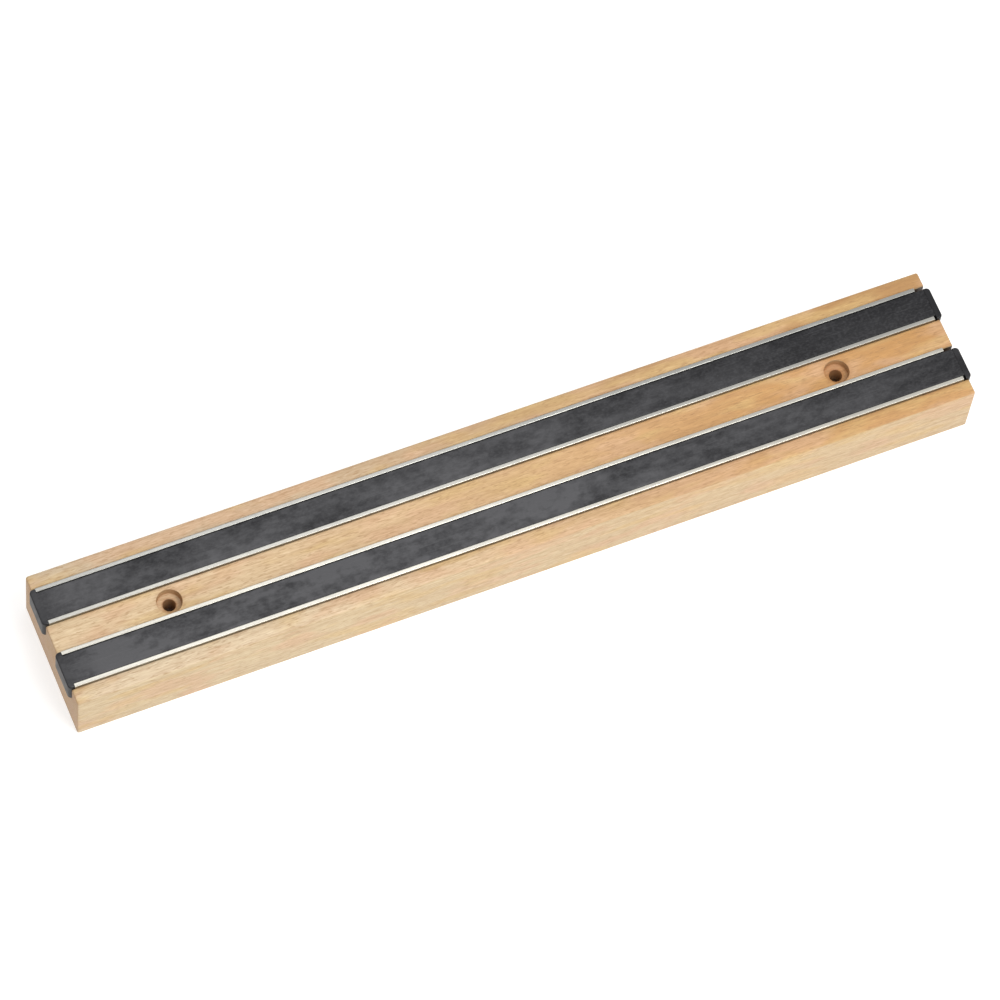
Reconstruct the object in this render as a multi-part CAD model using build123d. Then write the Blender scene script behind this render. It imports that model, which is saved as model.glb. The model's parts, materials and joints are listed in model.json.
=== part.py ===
"""Wall-mounted wooden magnetic knife rack.

A solid wooden bar with two open-ended grooves along it. Each groove holds a magnet strip: two steel
pole rails that stand a little above the wood, a row of ferrite blocks between them, a black cover
strip over the blocks and a black plastic cap at each end. Two counterbored holes take the wall screws.

Frame, in millimetres: the origin is the centre of the flat back face, +X runs along the bar,
+Y points up the wall when the rack hangs, and +Z points away from the wall, towards the knives.
"""

import os

from build123d import *

# ---- driving dimensions, mm -------------------------------------------------------------------
# wooden bar
BAR_LENGTH = 330.0
BAR_WIDTH = 50.0
BAR_THICKNESS = 25.0
EDGE_ROUND = 0.8

# magnet strips
STRIP_OFFSET = 12.3  # centre line of each strip from the bar's centre line
STRIP_WIDTH = 13.8  # over the outsides of the two rails
GROOVE_DEPTH = 7.0
RAIL_THICKNESS = 1.4
RAIL_PROUD = 1.2  # how far the rails stand above the wood
COVER_THICKNESS = 2.6
COVER_RECESS = 0.2  # the cover lies this far below the rails' top edges
MAGNETS_PER_STRIP = 6
MAGNET_LENGTH = 50.0
MAGNET_GAP = 3.0
TOP_RAIL_SHORT = 3.0  # gap between the right end of each strip's top rail and the cap
BOTTOM_RAIL_SHORT = 0.8  # the same gap at each bottom rail

# end caps
CAP_OVERHANG = 1.0  # how far a cap stands out past the end of the wood
CAP_COVERS = 1.2  # how far a cap reaches in from the end of the wood
CAP_CORNER_RADIUS = 1.4
CAP_TOP_RADIUS = 0.6

# wall screw holes
SCREW_SPACING = 246.0
SCREW_LINE = -0.5  # Y of the holes, which lie just below the bar's centre line
SCREW_HOLE_DIAMETER = 4.4
SCREW_SEAT_DIAMETER = 8.8
SCREW_SEAT_DEPTH = 3.3  # the head lies below the face of the wood

# ---- sizes that follow from them --------------------------------------------------------------
GROOVE_FLOOR = BAR_THICKNESS - GROOVE_DEPTH
RAIL_TOP = BAR_THICKNESS + RAIL_PROUD
COVER_TOP = RAIL_TOP - COVER_RECESS
COVER_BOTTOM = COVER_TOP - COVER_THICKNESS
BETWEEN_RAILS = STRIP_WIDTH - 2 * RAIL_THICKNESS
RAIL_OFFSET = (STRIP_WIDTH - RAIL_THICKNESS) / 2
CAP_INNER_X = BAR_LENGTH / 2 - CAP_COVERS
CAP_OUTER_X = BAR_LENGTH / 2 + CAP_OVERHANG
SCREW_SEAT_FLOOR = BAR_THICKNESS - SCREW_SEAT_DEPTH

STRIPS = {"upper": STRIP_OFFSET, "lower": -STRIP_OFFSET}


def block(x_range, y_range, z_range):
    """A box between the given limits on each axis."""
    size = [high - low for low, high in (x_range, y_range, z_range)]
    centre = [(high + low) / 2 for low, high in (x_range, y_range, z_range)]
    return Pos(*centre) * Box(*size)


def around(centre, width):
    """The limits of a span of that width about its centre."""
    return (centre - width / 2, centre + width / 2)


def screw_hole(x):
    """The space that one wall screw takes: a hole for its shank and a flat-bottomed seat for its head."""
    shank = Pos(x, SCREW_LINE, BAR_THICKNESS / 2) * Cylinder(SCREW_HOLE_DIAMETER / 2, BAR_THICKNESS)
    seat = Pos(x, SCREW_LINE, SCREW_SEAT_FLOOR + SCREW_SEAT_DEPTH / 2) * Cylinder(
        SCREW_SEAT_DIAMETER / 2, SCREW_SEAT_DEPTH
    )
    return shank + seat


def wood_bar():
    """The wooden bar, with eased edges, two open-ended grooves and two counterbored holes."""
    bar = block(
        around(0, BAR_LENGTH), around(0, BAR_WIDTH), (0, BAR_THICKNESS)
    )
    bar = fillet(bar.edges(), EDGE_ROUND)
    for y in STRIPS.values():
        bar -= block(
            around(0, BAR_LENGTH + 2), around(y, STRIP_WIDTH), (GROOVE_FLOOR, BAR_THICKNESS + 1)
        )
    for x in around(0, SCREW_SPACING):
        bar -= screw_hole(x)
    return bar


def rail(y, short):
    """One steel pole rail on the groove's floor. It starts at the left cap and ends short of the right."""
    return block(
        (-CAP_INNER_X, CAP_INNER_X - short), around(y, RAIL_THICKNESS), (GROOVE_FLOOR, RAIL_TOP)
    )


def cover_strip(y):
    """The black strip that closes the top of the magnet row, from cap to cap."""
    return block(
        (-CAP_INNER_X, CAP_INNER_X), around(y, BETWEEN_RAILS), (COVER_BOTTOM, COVER_TOP)
    )


def magnet(y, index):
    """One ferrite block of the row under the cover."""
    pitch = MAGNET_LENGTH + MAGNET_GAP
    x = (index - (MAGNETS_PER_STRIP - 1) / 2) * pitch
    return block(
        around(x, MAGNET_LENGTH), around(y, BETWEEN_RAILS), (GROOVE_FLOOR, COVER_BOTTOM)
    )


def end_cap(y, side):
    """The plastic plate that closes one end of a strip. side is +1 at the right end and -1 at the left.

    A left cap is as wide as its groove. A right cap reaches only to the top rail's inner face, so that
    the rail's slot is open at that end.
    """
    x_range = sorted((side * CAP_INNER_X, side * CAP_OUTER_X))
    top_y = y + (BETWEEN_RAILS if side > 0 else STRIP_WIDTH) / 2
    cap = block(x_range, (y - STRIP_WIDTH / 2, top_y), (GROOVE_FLOOR, RAIL_TOP))
    outer_corners = [
        edge
        for edge in cap.edges().filter_by(Axis.Z)
        if side * edge.center().X > BAR_LENGTH / 2
    ]
    cap = fillet(outer_corners, CAP_CORNER_RADIUS)
    rim = [
        edge
        for edge in cap.faces().sort_by(Axis.Z)[-1].edges()
        if side * edge.center().X > CAP_INNER_X + 0.01
    ]
    return fillet(rim, CAP_TOP_RADIUS)


def all_parts():
    """Every sub-part, by node name."""
    parts = {"wood_bar": wood_bar()}
    for name, y in STRIPS.items():
        parts[f"{name}_top_rail"] = rail(y + RAIL_OFFSET, TOP_RAIL_SHORT)
        parts[f"{name}_bottom_rail"] = rail(y - RAIL_OFFSET, BOTTOM_RAIL_SHORT)
        parts[f"{name}_cover_strip"] = cover_strip(y)
        for index in range(MAGNETS_PER_STRIP):
            parts[f"{name}_magnet_{index + 1}"] = magnet(y, index)
        for side, word in ((-1, "left"), (1, "right")):
            parts[f"{name}_{word}_end_cap"] = end_cap(y, side)
    return parts


os.makedirs("parts", exist_ok=True)
for node, solid in all_parts().items():
    export_step(solid, f"parts/{node}.step")
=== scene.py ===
"""Looks for a wall-mounted wooden magnetic knife rack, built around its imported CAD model.

Lengths are in metres, or in millimetres that MM turns into metres. Places come from the frame.
"""

import json
import math

import bmesh
import bpy
from mathutils import Matrix, Vector


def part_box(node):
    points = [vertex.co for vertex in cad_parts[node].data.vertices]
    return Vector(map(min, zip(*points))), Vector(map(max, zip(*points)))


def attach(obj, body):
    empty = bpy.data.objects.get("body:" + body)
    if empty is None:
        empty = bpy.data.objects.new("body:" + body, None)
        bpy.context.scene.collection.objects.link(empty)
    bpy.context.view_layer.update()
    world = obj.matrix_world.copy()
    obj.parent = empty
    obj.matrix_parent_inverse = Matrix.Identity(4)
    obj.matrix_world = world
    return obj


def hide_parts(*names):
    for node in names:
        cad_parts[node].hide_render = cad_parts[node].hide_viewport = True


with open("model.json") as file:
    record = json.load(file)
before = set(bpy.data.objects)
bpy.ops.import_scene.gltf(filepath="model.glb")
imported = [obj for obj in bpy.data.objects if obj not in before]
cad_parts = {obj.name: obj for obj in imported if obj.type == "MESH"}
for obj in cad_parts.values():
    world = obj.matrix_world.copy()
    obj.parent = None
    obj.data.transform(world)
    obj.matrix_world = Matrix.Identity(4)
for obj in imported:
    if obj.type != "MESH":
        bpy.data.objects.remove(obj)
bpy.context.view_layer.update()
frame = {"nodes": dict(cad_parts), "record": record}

MM = 0.001

# ---- camera: where it stands round the object, and its lens -----------------------------------
CAMERA_AZIMUTH = -30.52
CAMERA_ELEVATION = 64.59
CAMERA_ROLL = 9.01
CAMERA_DISTANCE = 2.058
CAMERA_TARGET = (0.00125, 0.0049, 0.001)
CAMERA_LENS = 215.3
SENSOR_WIDTH = 36.0

# ---- studio, in metres and watts --------------------------------------------------------------
FLOOR_REACH = 6.0  # half the floor's side
SKY_COLOUR = (1.0, 1.0, 1.0)
SKY_STRENGTH = 0.61
# each panel's place, the point it faces, width, height, power and colour
PANELS = {
    "front_key": ((0.30, -0.60, 1.20), (0, 0, 0), 0.7, 0.7, 11.8, (1.0, 0.985, 0.96)),
    "back_sheen": ((-0.04, 0.40, 0.95), (-0.06, 0, 0), 0.58, 0.5, 1.0, (1.0, 1.0, 1.0)),
}

# ---- small shapes that the CAD leaves sharp, mm -----------------------------------------------
WOOD_EDGE_ROUND = 0.8
WOOD_CUT_EASE = 0.3
RAIL_EASE = 0.18
COVER_ROUND = 0.4
COVER_SIDE_GAP = 0.12
CAP_CORNER_ROUND = 1.4
CAP_TOP_ROUND = 0.6
MAGNET_EASE = 0.5
SCREW_SEAT_DIAMETER = 8.8
SCREW_SEAT_DEPTH = 3.3
HOLE_STEPS = 64  # flats round each screw hole, a count

# ---- working distances, mm --------------------------------------------------------------------
CUT_PAST = 5.0  # how far each cutter reaches past the wood
SAME_PLACE = 0.01  # places closer than this count as the same
FLOOR_GAP = 0.1  # how far the floor lies under the rack


# ==== places read from the frame ===============================================================
def limits(node):
    """The lowest and highest corners of a CAD node, in metres."""
    low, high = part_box(node)
    return Vector(low), Vector(high)


WOOD_LOW, WOOD_HIGH = limits("wood_bar")
STRIPS = ("upper", "lower")
ENDS = ("left", "right")
BORES = [m for m in frame["record"]["mounts"] if m["kind"] == "bore"]
BORE_RADIUS = BORES[0]["dims"]["r_mm"] * MM
HOLES = [Vector((m["pos_m"][0], m["pos_m"][1], 0)) for m in BORES]
GROOVES = [
    (limits(f"{s}_bottom_rail")[0].y, limits(f"{s}_top_rail")[1].y) for s in STRIPS
]
GROOVE_FLOOR = limits("upper_top_rail")[0].z
SEAT_RADIUS = SCREW_SEAT_DIAMETER / 2 * MM
SEAT_FLOOR = WOOD_HIGH.z - SCREW_SEAT_DEPTH * MM


# ==== meshes ===================================================================================
def new_object(name, bm):
    """A mesh object made from a bmesh, which is then freed."""
    mesh = bpy.data.meshes.new(name)
    bm.normal_update()
    bm.to_mesh(mesh)
    bm.free()
    piece = bpy.data.objects.new(name, mesh)
    bpy.context.scene.collection.objects.link(piece)
    return piece


def box_bmesh(low, high):
    """A box between two corners."""
    bm = bmesh.new()
    size = high - low
    place = Matrix.Translation((low + high) / 2) @ Matrix.Diagonal((*size, 1))
    bmesh.ops.create_cube(bm, size=1, matrix=place)
    return bm


def round_edges(bm, edges, width, segments):
    """Rounds those edges of a bmesh."""
    bmesh.ops.bevel(
        bm,
        geom=list(edges),
        offset=width,
        segments=segments,
        affect="EDGES",
        profile=0.5,
        clamp_overlap=True,
    )


def lathe_bmesh(profile, centre, steps):
    """A closed solid turned about a vertical axis from (radius, height) pairs."""
    bm = bmesh.new()
    rings = []
    for radius, height in profile:
        ring = []
        for k in range(steps):
            a = 2 * math.pi * k / steps
            ring.append(
                bm.verts.new(
                    (centre.x + radius * math.cos(a), centre.y + radius * math.sin(a), height)
                )
            )
        rings.append(ring)
    for lower, upper in zip(rings, rings[1:]):
        for k in range(steps):
            n = (k + 1) % steps
            bm.faces.new((lower[k], lower[n], upper[n], upper[k]))
    bm.faces.new(list(reversed(rings[0])))
    bm.faces.new(rings[-1])
    return bm


def cut_away(piece, cutters):
    """Subtracts the cutters from the piece's mesh, and removes them."""
    for cutter in cutters:
        cut = piece.modifiers.new("cut", "BOOLEAN")
        cut.operation = "DIFFERENCE"
        cut.solver = "EXACT"
        cut.object = cutter
    apply_modifiers(piece)
    for cutter in cutters:
        bpy.data.objects.remove(cutter)


def apply_modifiers(piece):
    """Turns the piece's modifiers into mesh."""
    bpy.context.view_layer.update()
    graph = bpy.context.evaluated_depsgraph_get()
    mesh = bpy.data.meshes.new_from_object(piece.evaluated_get(graph))
    piece.modifiers.clear()
    piece.data = mesh


def ease_cut_edges(piece, width, segments, angle=40):
    """Rounds every edge that turns through more than the angle."""
    bevel = piece.modifiers.new("ease", "BEVEL")
    bevel.width = width
    bevel.segments = segments
    bevel.limit_method = "ANGLE"
    bevel.angle_limit = math.radians(angle)
    apply_modifiers(piece)


def smooth(piece, angle=35):
    """Smooth shading, with edges that turn through more than the angle kept crisp."""
    for polygon in piece.data.polygons:
        polygon.use_smooth = True
    piece.data.set_sharp_from_angle(angle=math.radians(angle))


def finish_piece(piece, node, material):
    """Gives a built piece its material, hangs it on the root body and hides the CAD node it stands
    for.
    """
    piece.data.materials.clear()
    piece.data.materials.append(material)
    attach(piece, "root")
    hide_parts(node)


# ==== material graphs ==========================================================================
class Graph:
    """A material's node tree, with short calls for the nodes used here."""

    def __init__(self, name):
        self.material = bpy.data.materials.new(name)
        self.material.use_nodes = True
        self.tree = self.material.node_tree
        self.tree.nodes.clear()
        self.shader = self.tree.nodes.new("ShaderNodeBsdfPrincipled")
        output = self.tree.nodes.new("ShaderNodeOutputMaterial")
        self.tree.links.new(self.shader.outputs[0], output.inputs["Surface"])
        self.place = self.tree.nodes.new("ShaderNodeTexCoord").outputs["Object"]

    def put(self, socket, value):
        """Links an output to a socket, or sets the socket to a plain value."""
        if isinstance(value, bpy.types.NodeSocket):
            self.tree.links.new(value, socket)
        else:
            socket.default_value = value

    def math(self, operation, a, b=0.0, c=0.0, clamp=False):
        """One operation on numbers."""
        node = self.tree.nodes.new("ShaderNodeMath")
        node.operation = operation
        node.use_clamp = clamp
        for socket, value in zip(node.inputs, (a, b, c)):
            self.put(socket, value)
        return node.outputs[0]

    def vector(self, operation, a, b=(0.0, 0.0, 0.0)):
        """One operation on vectors, which gives a number for LENGTH."""
        node = self.tree.nodes.new("ShaderNodeVectorMath")
        node.operation = operation
        self.put(node.inputs[0], a)
        self.put(node.inputs[1], b)
        return node.outputs["Value" if operation == "LENGTH" else "Vector"]

    def parts(self, vector):
        """The X, Y and Z of a vector."""
        node = self.tree.nodes.new("ShaderNodeSeparateXYZ")
        self.put(node.inputs[0], vector)
        return node.outputs

    def facing(self):
        """The X, Y and Z of the direction that the surface faces."""
        return self.parts(self.tree.nodes.new("ShaderNodeNewGeometry").outputs["Normal"])

    def join(self, x, y, z):
        """A vector from its X, Y and Z."""
        node = self.tree.nodes.new("ShaderNodeCombineXYZ")
        for socket, value in zip(node.inputs, (x, y, z)):
            self.put(socket, value)
        return node.outputs[0]

    def noise(self, vector, detail=2.0, roughness=0.5):
        """Noise with features about one unit of the vector across."""
        node = self.tree.nodes.new("ShaderNodeTexNoise")
        self.put(node.inputs["Vector"], vector)
        self.put(node.inputs["Scale"], 1.0)
        self.put(node.inputs["Detail"], detail)
        self.put(node.inputs["Roughness"], roughness)
        return node.outputs[0]

    def stretch(self, length, width, shift=0.0):
        """The place, in units of a feature that is length mm on X and width mm on Y and Z."""
        scaled = self.vector(
            "MULTIPLY", self.place, (1 / (length * MM), 1 / (width * MM), 1 / (width * MM))
        )
        return self.vector("ADD", scaled, (shift, shift * 1.7, shift * 2.3))

    def span(self, value, low, high, to_low=0.0, to_high=1.0):
        """Moves a value smoothly from one range to another, held at its ends."""
        node = self.tree.nodes.new("ShaderNodeMapRange")
        node.interpolation_type = "SMOOTHSTEP"
        for name, number in (
            ("From Min", low), ("From Max", high), ("To Min", to_low), ("To Max", to_high)
        ):
            self.put(node.inputs[name], number)
        self.put(node.inputs["Value"], value)
        return node.outputs[0]

    def mix(self, amount, a, b, blend="MIX"):
        """Mixes two colours."""
        node = self.tree.nodes.new("ShaderNodeMix")
        node.data_type = "RGBA"
        node.blend_type = blend
        self.put(node.inputs[0], amount)
        self.put(node.inputs[6], (*a, 1.0) if isinstance(a, tuple) else a)
        self.put(node.inputs[7], (*b, 1.0) if isinstance(b, tuple) else b)
        return node.outputs[2]

    def bump(self, height, depth_mm, strength=1.0):
        """A bump whose full height is depth_mm."""
        node = self.tree.nodes.new("ShaderNodeBump")
        self.put(node.inputs["Strength"], strength)
        self.put(node.inputs["Distance"], depth_mm * MM)
        self.put(node.inputs["Height"], height)
        return node.outputs["Normal"]

    def finish(self, **sockets):
        """Sets the shader's sockets, with spaces in their names written as underscores."""
        for name, value in sockets.items():
            self.put(self.shader.inputs[name.replace("_", " ")], value)
        return self.material


WOOD_PALE = (0.740, 0.570, 0.360)
WOOD_GOLD = (0.580, 0.310, 0.113)
WOOD_PINK = (0.690, 0.440, 0.270)
WOOD_HONEY = (0.680, 0.480, 0.205)
# painted sheen on the top, towards -Y and strongest at -X
WOOD_PAINTED_SHEEN = (0.800, 0.680, 0.500)
WOOD_FLECK = (0.360, 0.190, 0.080)
# painted shade deep in the screw bores
BORE_SHADE = (0.130, 0.042, 0.012)
# drill scorch round the holes, and painted shade on the seats' walls
WOOD_SCORCH_AND_SHADE = (0.320, 0.110, 0.020)
# painted contact shadow along the foot of each rail
RAIL_FOOT_SHADOW = (0.150, 0.100, 0.055)
# painted shade on the grooves' walls and floor
GROOVE_SHADE = (0.040, 0.018, 0.010)
# these three multiply the wood's colour: painted shade at the back, painted shade on the sides, and
# the pale flecks
BACK_SHADE = (0.84, 0.88, 0.97)
SIDE_SHADE = (0.91, 0.95, 0.94)
FLECK_LIFT = (1.16, 1.22, 1.32)

STEEL_BRIGHT = (0.84, 0.81, 0.72)
# painted shade on the rails higher up the wall
STEEL_FAR_SHADE = (0.50, 0.50, 0.47)
STEEL_STAIN = (0.55, 0.54, 0.50)
STEEL_LINE = (0.50, 0.49, 0.47)
# painted shade on the rails' sides
STEEL_SIDE_SHADE = (0.26, 0.26, 0.25)

# dust, and painted sheen towards -X and on the lower strip
DUST_AND_SHEEN_GREY = (0.084, 0.084, 0.090)
STRIP_BLACK = (0.009, 0.009, 0.011)
STRIP_SCUFF = (0.20, 0.20, 0.21)
STRIP_SPECKLE = (0.11, 0.11, 0.118)
CAP_BLACK = (0.012, 0.012, 0.014)
CAP_SIDE_DARK = (0.010, 0.010, 0.011)
CAP_SIDE_PALE = (0.022, 0.022, 0.023)

FERRITE_DARK = (0.045, 0.045, 0.048)
FERRITE_PALE = (0.075, 0.074, 0.076)
FERRITE_PIT = (0.02, 0.02, 0.02)

FLOOR_GREY = (0.6, 0.6, 0.6, 1.0)
FLOOR_GLOW = (1.0, 1.0, 1.0, 1.0)


def screw_hole_tone(g, tone, x, y, z):
    """Darkens the wood round the screw holes with drill scorch, paints shade over the scorch on the
    seat's wall, and paints shade down the bore.
    """
    along = g.math("SUBTRACT", g.math("ABSOLUTE", x), abs(HOLES[0].x))
    across = g.math("SUBTRACT", y, HOLES[0].y)
    from_axis = g.vector("LENGTH", g.join(along, across, 0.0))
    below_face = g.span(z, WOOD_HIGH.z - 0.15 * MM, WOOD_HIGH.z - 0.7 * MM)
    wall = g.math(
        "MULTIPLY",
        g.span(from_axis, SEAT_RADIUS - 0.45 * MM, SEAT_RADIUS - 0.1 * MM),
        g.span(from_axis, SEAT_RADIUS + 0.4 * MM, SEAT_RADIUS + 0.15 * MM),
    )
    wall = g.math("MULTIPLY", wall, below_face)
    halo = g.span(from_axis, SEAT_RADIUS + 1.8 * MM, SEAT_RADIUS + 0.1 * MM)
    seat = g.math(
        "MULTIPLY",
        g.span(from_axis, SEAT_RADIUS, SEAT_RADIUS - 0.2 * MM),
        g.span(z, SEAT_FLOOR + 0.4 * MM, SEAT_FLOOR + 0.1 * MM),
    )
    mouth = g.span(from_axis, BORE_RADIUS + 0.9 * MM, BORE_RADIUS + 0.15 * MM)
    bore = g.span(from_axis, BORE_RADIUS + 0.3 * MM, BORE_RADIUS - 0.05 * MM)
    tone = g.mix(g.math("MULTIPLY", halo, 0.16), tone, WOOD_SCORCH_AND_SHADE)
    tone = g.mix(g.math("MULTIPLY", seat, 0.12), tone, WOOD_SCORCH_AND_SHADE)
    # painted shade over the drill scorch on the seat's wall
    tone = g.mix(g.math("MULTIPLY", wall, 0.45), tone, WOOD_SCORCH_AND_SHADE)
    tone = g.mix(g.math("MULTIPLY", mouth, 0.35), tone, WOOD_SCORCH_AND_SHADE)
    # painted shade down the bore
    return g.mix(g.math("MULTIPLY", bore, 0.55), tone, BORE_SHADE)


def groove_tone(g, tone, y, z, upright):
    """Paints a thin contact shadow at the foot of each rail, and paints shade on the grooves' walls
    and floor.
    """
    in_depth = g.math(
        "MULTIPLY",
        g.span(z, WOOD_HIGH.z - 0.2 * MM, WOOD_HIGH.z - 0.4 * MM),
        g.span(z, GROOVE_FLOOR - 0.1 * MM, GROOVE_FLOOR),
    )
    for low_y, high_y in GROOVES:
        for edge in (low_y, high_y):
            near = g.math("ABSOLUTE", g.math("SUBTRACT", y, edge))
            # painted contact shadow at the rail's foot
            line = g.math("MULTIPLY", g.span(near, 0.55 * MM, 0.1 * MM), upright)
            wall = g.math("MULTIPLY", g.span(near, 0.12 * MM, 0.02 * MM), in_depth)
            tone = g.mix(g.math("MULTIPLY", line, 0.5), tone, RAIL_FOOT_SHADOW)
            # painted shade on the groove's wall
            tone = g.mix(g.math("MULTIPLY", wall, 0.95), tone, GROOVE_SHADE)
    off_floor = g.math("ABSOLUTE", g.math("SUBTRACT", z, GROOVE_FLOOR))
    floor = g.math("MULTIPLY", g.span(off_floor, 0.1 * MM, 0.02 * MM), upright)
    # painted shade on the groove's floor
    return g.mix(g.math("MULTIPLY", floor, 0.95), tone, GROOVE_SHADE)


def wood_material():
    """Pale close-grained hardwood, with its grain along X and end grain on the two ends."""
    g = Graph("pale_hardwood")
    x, y, z = g.parts(g.place)[:3]
    normal = g.facing()

    # growth rings about a pith that lies below the bar and isn't quite parallel to it
    sway = g.noise(g.stretch(170, 60), 2, 0.5)
    ring_y = g.math("ADD", g.math("MULTIPLY_ADD", x, 0.025, y), -0.016)
    ring_z = g.math("ADD", g.math("MULTIPLY_ADD", sway, 0.016, z), 0.045)
    radius = g.vector("LENGTH", g.join(0.0, ring_y, ring_z))
    rings = g.math("PINGPONG", radius, 0.0017)
    ring_line = g.span(rings, 0.0, 0.0007, 1.0, 0.0)
    ring_line = g.math("MULTIPLY", ring_line, g.span(g.noise(g.stretch(60, 6, 5)), 0.35, 0.7))

    # broad patches of tone, streaks along the fibres, and short dark pores and flecks
    pink_patch = g.span(g.noise(g.stretch(22, 8, 1), 2, 0.5), 0.46, 0.64)
    honey_patch = g.span(g.noise(g.stretch(28, 7, 9), 2, 0.5), 0.48, 0.66)
    streaks = g.noise(g.stretch(26, 1.2, 2), 4, 0.6)
    fibres = g.noise(g.stretch(5.5, 0.5, 3), 3, 0.65)
    pores = g.span(g.noise(g.stretch(2.8, 0.42, 4), 1, 0.5), 0.58, 0.70)
    flecks = g.span(g.noise(g.stretch(4.5, 0.95, 6), 2, 0.6), 0.54, 0.72)
    pale_flecks = g.span(g.noise(g.stretch(4.0, 0.8, 8), 2, 0.6), 0.54, 0.72)

    # the face turns golden towards +X, partly its own tone and partly a painted sheen that keeps -X
    # pale; a painted sheen lightens it towards -Y and painted shade darkens it towards +Y; the sides
    # stay paler, partly their own tone and partly a painted reflection of the floor, under painted
    # shade
    upright = g.span(g.math("ABSOLUTE", normal[2]), 0.4, 0.85)
    # golden towards +X: partly the wood's own tone, partly a painted sheen keeping -X pale
    gold = g.math("MULTIPLY", g.span(x, -0.15, 0.14), g.span(upright, 0.0, 1.0, 0.25, 1.0))
    # painted sheen: lightens the top towards -Y, strongest at -X
    painted_sheen = g.math("MULTIPLY", g.span(y, 0.0, WOOD_LOW.y), upright)
    painted_sheen = g.math("MULTIPLY", painted_sheen, g.span(x, -0.16, 0.12, 0.55, 0.05))
    # painted shade on the top towards the back edge
    painted_back_shade = g.math("MULTIPLY", g.span(y, 0.004, WOOD_HIGH.y), upright)
    tone = g.mix(gold, WOOD_PALE, WOOD_GOLD)
    tone = g.mix(painted_sheen, tone, WOOD_PAINTED_SHEEN)
    tone = g.mix(painted_back_shade, tone, BACK_SHADE, "MULTIPLY")
    # painted shade on the sides and ends
    tone = g.mix(g.math("SUBTRACT", 1.0, upright), tone, SIDE_SHADE, "MULTIPLY")
    tone = g.mix(g.math("MULTIPLY", pink_patch, 0.6), tone, WOOD_PINK)
    tone = g.mix(g.math("MULTIPLY", honey_patch, 0.55), tone, WOOD_HONEY)
    tone = g.mix(g.span(streaks, 0.36, 0.70, 0.0, 0.26), tone, WOOD_FLECK)
    tone = g.mix(g.span(fibres, 0.38, 0.66, 0.0, 0.26), tone, WOOD_FLECK)
    tone = g.mix(g.math("MULTIPLY", ring_line, 0.16), tone, WOOD_FLECK)
    tone = g.mix(g.math("MULTIPLY", flecks, 0.30), tone, WOOD_FLECK)
    tone = g.mix(g.math("MULTIPLY", pale_flecks, 0.55), tone, FLECK_LIFT, "MULTIPLY")
    tone = g.mix(g.math("MULTIPLY", pores, 0.42), tone, WOOD_FLECK)

    tone = groove_tone(g, tone, y, z, upright)
    tone = screw_hole_tone(g, tone, x, y, z)

    # end grain drinks more oil, so it is darker, and shows the pores as dots
    facing_end = g.span(g.math("ABSOLUTE", normal[0]), 0.55, 0.9)
    tone = g.mix(g.math("MULTIPLY", facing_end, 0.70), tone, WOOD_FLECK)

    grain = g.math("ADD", g.math("MULTIPLY", fibres, 0.5), g.math("MULTIPLY", pores, -0.8))
    roughness = g.span(fibres, 0.3, 0.7, 0.44, 0.58)
    return g.finish(
        Base_Color=tone,
        Roughness=roughness,
        Specular_IOR_Level=0.4,
        Normal=g.bump(grain, 0.06, 0.6),
    )


def steel_material():
    """Steel with bright ground top edges, stained a little, with painted shade on its sides and on
    the rails higher up the wall.
    """
    g = Graph("ground_steel")
    normal = g.facing()
    y = g.parts(g.place)[1]
    lines = g.noise(g.stretch(45, 0.09), 3, 0.6)
    scuffs = g.noise(g.stretch(5, 0.5, 3), 2, 0.5)
    stains = g.noise(g.stretch(26, 7, 7), 2, 0.5)
    # painted shade on the rails higher up the wall
    far_rail_shade = g.math("POWER", g.span(y, GROOVES[1][0], GROOVES[0][1]), 1.4)
    tone = g.mix(far_rail_shade, STEEL_BRIGHT, STEEL_FAR_SHADE)
    tone = g.mix(g.span(stains, 0.42, 0.7, 0.0, 0.4), tone, STEEL_STAIN)
    tone = g.mix(g.span(lines, 0.3, 0.7, 0.0, 0.25), tone, STEEL_LINE)
    # painted shade on the rails' sides
    tone = g.mix(g.span(normal[2], 0.75, 0.25, 0.0, 0.75), tone, STEEL_SIDE_SHADE)
    roughness = g.math(
        "ADD", g.span(lines, 0.3, 0.7, 0.30, 0.40), g.span(scuffs, 0.5, 0.75, 0.0, 0.12)
    )
    return g.finish(
        Base_Color=tone, Metallic=1.0, Roughness=roughness, Normal=g.bump(lines, 0.02, 0.5)
    )


def black_tone(g, dark):
    """Black with dust in soft patches and mottles, and a painted sheen that lightens it towards -X
    and on the lower strip.
    """
    x, y = g.parts(g.place)[:2]
    patches = g.noise(g.stretch(22, 8, 4), 2, 0.5)
    mottle = g.noise(g.stretch(4.2, 2.6), 3, 0.6)
    # painted sheen towards -X and on the lower strip; the patches and mottles below are dust
    lower = g.span(y, 0.002, -0.002)
    dust_and_sheen = g.math("ADD", g.span(x, 0.17, -0.04, 0.0, 0.56), g.math("MULTIPLY", lower, 0.26))
    amount = g.math("MULTIPLY_ADD", dust_and_sheen, 0.42, 0.06)
    dust_and_sheen = g.math("MULTIPLY_ADD", g.span(patches, 0.3, 0.7, -1.0, 1.0), amount, dust_and_sheen)
    dust_and_sheen = g.math("MULTIPLY_ADD", g.span(mottle, 0.3, 0.7, -0.7, 0.7), amount, dust_and_sheen, clamp=True)
    from_end = g.math("SUBTRACT", WOOD_HIGH.x, g.math("ABSOLUTE", x))
    dust_and_sheen = g.math("MULTIPLY", dust_and_sheen, g.span(from_end, 0.0, 14 * MM, 0.55, 1.0))
    return g.mix(dust_and_sheen, dark, DUST_AND_SHEEN_GREY)


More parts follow.
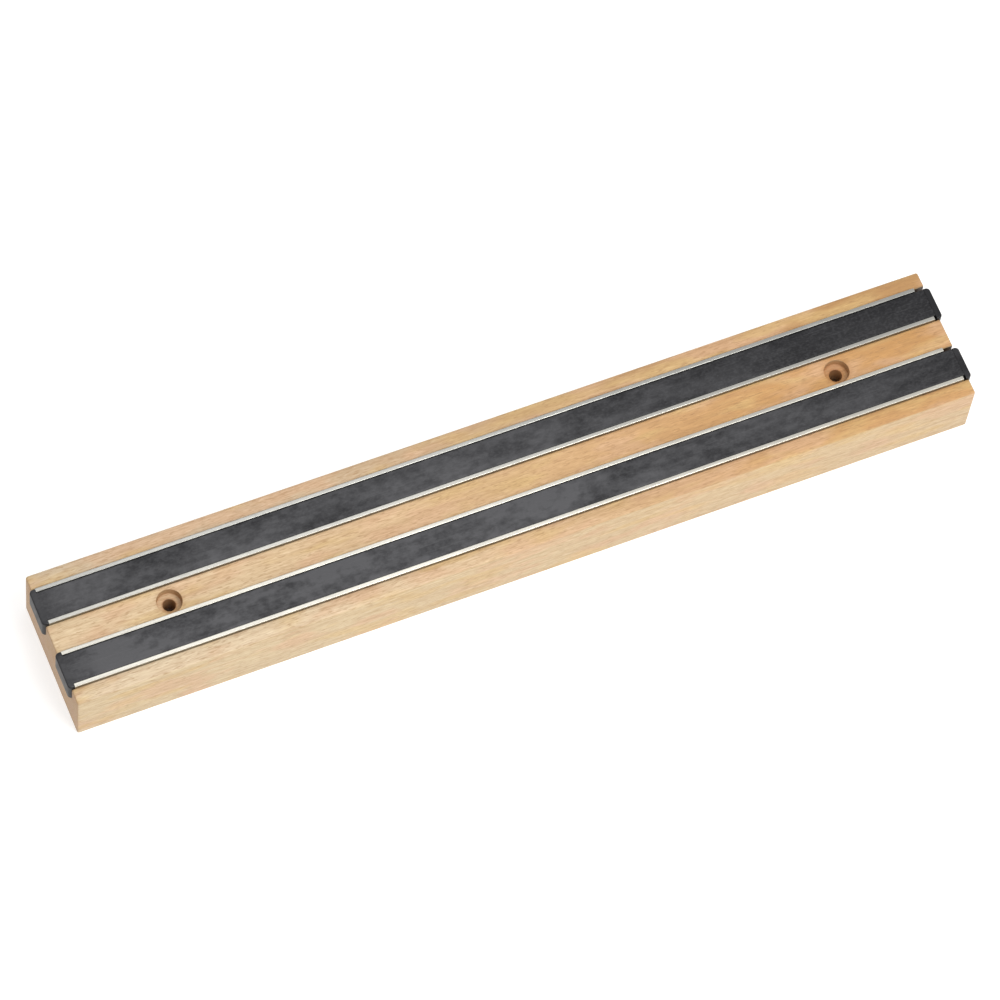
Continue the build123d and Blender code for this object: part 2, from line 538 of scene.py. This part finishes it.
def cover_material():
    """Matte black strip, mottled and scuffed along its length."""
    g = Graph("matte_black_strip")
    speckle = g.noise(g.stretch(1.1, 0.7, 2), 2, 0.6)
    scuffs = g.span(g.noise(g.stretch(24, 0.45, 5), 2, 0.5), 0.58, 0.8)
    haze = g.noise(g.stretch(5, 2.4, 8), 3, 0.6)
    tone = black_tone(g, STRIP_BLACK)
    tone = g.mix(g.math("MULTIPLY", scuffs, 0.12), tone, STRIP_SCUFF)
    tone = g.mix(g.span(speckle, 0.40, 0.72, 0.0, 0.18), tone, STRIP_SPECKLE)
    roughness = g.span(haze, 0.3, 0.7, 0.44, 0.60)
    return g.finish(
        Base_Color=tone,
        Roughness=roughness,
        Specular_IOR_Level=0.3,
        Normal=g.bump(speckle, 0.03, 0.6),
    )


def cap_material():
    """Satin black moulded plastic with a fine spark-eroded grain; its top carries the strips' dust
    and painted sheen.
    """
    g = Graph("satin_black_plastic")
    grain = g.noise(g.stretch(0.28, 0.28), 2, 0.6)
    haze = g.noise(g.stretch(2.6, 2.6, 3), 2, 0.5)
    normal = g.facing()
    side = g.mix(g.span(haze, 0.35, 0.7), CAP_SIDE_DARK, CAP_SIDE_PALE)
    top = black_tone(g, CAP_BLACK)
    # the top takes the strips' dust and painted sheen; the sides don't
    tone = g.mix(g.span(normal[2], 0.7, 0.97), side, top)
    roughness = g.span(haze, 0.3, 0.7, 0.38, 0.50)
    return g.finish(
        Base_Color=tone,
        Roughness=roughness,
        Specular_IOR_Level=0.3,
        Normal=g.bump(grain, 0.02, 0.5),
    )


def ferrite_material():
    """Dark grey sintered ceramic with pits."""
    g = Graph("sintered_ferrite")
    pits = g.span(g.noise(g.stretch(0.5, 0.5), 2, 0.6), 0.55, 0.7)
    cloud = g.noise(g.stretch(6, 6, 4), 3, 0.5)
    tone = g.mix(g.span(cloud, 0.35, 0.65), FERRITE_DARK, FERRITE_PALE)
    tone = g.mix(g.math("MULTIPLY", pits, 0.6), tone, FERRITE_PIT)
    roughness = g.span(cloud, 0.3, 0.7, 0.55, 0.7)
    return g.finish(Base_Color=tone, Roughness=roughness, Normal=g.bump(pits, -0.05, 0.7))


def floor_material():
    """Plain white matte floor with a faint glow, as on a light table."""
    g = Graph("pale_floor")
    return g.finish(
        Base_Color=FLOOR_GREY, Roughness=0.9, Emission_Color=FLOOR_GLOW, Emission_Strength=0.6
    )


# ==== the pieces ===============================================================================
def build_wood_bar(material):
    """The bar: rounded outside edges, two grooves, two counterbored holes, all cut edges eased."""
    bm = box_bmesh(WOOD_LOW, WOOD_HIGH)
    round_edges(bm, bm.edges, WOOD_EDGE_ROUND * MM, 3)
    bar = new_object("wood_bar_shaped", bm)
    past = CUT_PAST * MM
    cutters = []
    for low_y, high_y in GROOVES:
        low = Vector((WOOD_LOW.x - past, low_y, GROOVE_FLOOR))
        high = Vector((WOOD_HIGH.x + past, high_y, WOOD_HIGH.z + past))
        cutters.append(new_object("groove_cutter", box_bmesh(low, high)))
    profile = [
        (BORE_RADIUS, WOOD_LOW.z - past),
        (BORE_RADIUS, SEAT_FLOOR),
        (SEAT_RADIUS, SEAT_FLOOR),
        (SEAT_RADIUS, WOOD_HIGH.z + past),
    ]
    for hole in HOLES:
        cutters.append(new_object("hole_cutter", lathe_bmesh(profile, hole, HOLE_STEPS)))
    cut_away(bar, cutters)
    ease_cut_edges(bar, WOOD_CUT_EASE * MM, 2)
    smooth(bar)
    finish_piece(bar, "wood_bar", material)


def build_rail(node, material):
    """One steel rail with its ground edges eased."""
    bm = box_bmesh(*limits(node))
    round_edges(bm, bm.edges, RAIL_EASE * MM, 3)
    rail = new_object(f"{node}_ground", bm)
    smooth(rail)
    finish_piece(rail, node, material)


def build_cover(node, material):
    """One black cover strip, clear of the rails by a hair and rounded along its top."""
    low, high = limits(node)
    low.y += COVER_SIDE_GAP * MM
    high.y -= COVER_SIDE_GAP * MM
    bm = box_bmesh(low, high)
    top = [e for e in bm.edges if all(v.co.z > high.z - MM for v in e.verts)]
    long_top = [e for e in top if abs(e.verts[0].co.x - e.verts[1].co.x) > MM]
    round_edges(bm, long_top, COVER_ROUND * MM, 4)
    cover = new_object(f"{node}_moulded", bm)
    smooth(cover)
    finish_piece(cover, node, material)


def build_cap(strip, end, material):
    """One end cap: a plate with rounded outer corners and a rounded rim."""
    node = f"{strip}_{end}_end_cap"
    low, high = limits(node)
    inner_x = high.x if end == "left" else low.x
    bm = box_bmesh(low, high)
    corners = [
        e for e in bm.edges
        if abs(e.verts[0].co.z - e.verts[1].co.z) > MM
        and abs(e.verts[0].co.x - inner_x) > MM
    ]
    round_edges(bm, corners, CAP_CORNER_ROUND * MM, 8)
    rim = [
        e for e in bm.edges
        if all(v.co.z > high.z - SAME_PLACE * MM for v in e.verts)
        and not all(abs(v.co.x - inner_x) < SAME_PLACE * MM for v in e.verts)
    ]
    round_edges(bm, rim, CAP_TOP_ROUND * MM, 5)
    cap = new_object(f"{node}_moulded", bm)
    smooth(cap)
    finish_piece(cap, node, material)


def build_magnet(node, material):
    """One ferrite block with eased edges, under the cover."""
    bm = box_bmesh(*limits(node))
    round_edges(bm, bm.edges, MAGNET_EASE * MM, 2)
    magnet = new_object(f"{node}_block", bm)
    smooth(magnet)
    finish_piece(magnet, node, material)


def build_rack():
    """Every piece of the rack."""
    build_wood_bar(wood_material())
    steel = steel_material()
    cover = cover_material()
    cap = cap_material()
    ferrite = ferrite_material()
    for strip in STRIPS:
        for place in ("top", "bottom"):
            build_rail(f"{strip}_{place}_rail", steel)
        build_cover(f"{strip}_cover_strip", cover)
        for end in ENDS:
            build_cap(strip, end, cap)
    for node in sorted(frame["nodes"]):
        if "_magnet_" in node:
            build_magnet(node, ferrite)


# ==== the studio ===============================================================================
def build_floor():
    """A plain floor just under the rack."""
    bm = bmesh.new()
    below = Matrix.Translation((0, 0, WOOD_LOW.z - FLOOR_GAP * MM))
    bmesh.ops.create_grid(bm, x_segments=1, y_segments=1, size=FLOOR_REACH, matrix=below)
    floor = new_object("floor", bm)
    floor.data.materials.append(floor_material())


def add_panel(name, place, aim, width, height, power, colour):
    """A soft rectangular light that faces a point."""
    data = bpy.data.lights.new(name, "AREA")
    data.shape = "RECTANGLE"
    data.size = width
    data.size_y = height
    data.energy = power
    data.color = colour
    panel = bpy.data.objects.new(name, data)
    panel.location = place
    panel.rotation_mode = "QUATERNION"
    panel.rotation_quaternion = (Vector(aim) - Vector(place)).to_track_quat("-Z", "Y")
    bpy.context.scene.collection.objects.link(panel)


def add_sky():
    """Even light from all round."""
    world = bpy.data.worlds.new("studio")
    world.use_nodes = True
    background = world.node_tree.nodes["Background"]
    background.inputs["Color"].default_value = (*SKY_COLOUR, 1)
    background.inputs["Strength"].default_value = SKY_STRENGTH
    bpy.context.scene.world = world


def add_camera():
    """The camera, placed by its direction from the object, its distance and its roll."""
    azimuth = math.radians(CAMERA_AZIMUTH)
    elevation = math.radians(CAMERA_ELEVATION)
    roll = math.radians(CAMERA_ROLL)
    back = Vector((
        math.sin(azimuth) * math.cos(elevation),
        -math.cos(azimuth) * math.cos(elevation),
        math.sin(elevation),
    ))
    right = Vector((math.cos(azimuth), math.sin(azimuth), 0))
    up = back.cross(right)
    turned_right = right * math.cos(roll) + up * math.sin(roll)
    turned_up = up * math.cos(roll) - right * math.sin(roll)
    data = bpy.data.cameras.new("camera")
    data.sensor_width = SENSOR_WIDTH
    data.lens = CAMERA_LENS
    data.clip_start = 0.05
    data.clip_end = 30
    camera = bpy.data.objects.new("camera", data)
    axes = Matrix((turned_right, turned_up, back)).transposed()
    camera.matrix_world = Matrix.Translation(
        Vector(CAMERA_TARGET) + back * CAMERA_DISTANCE
    ) @ axes.to_4x4()
    bpy.context.scene.collection.objects.link(camera)
    bpy.context.scene.camera = camera


build_rack()
build_floor()
add_sky()
for panel_name, panel_settings in PANELS.items():
    add_panel(panel_name, *panel_settings)
add_camera()
bpy.context.scene.view_settings.view_transform = "Standard"
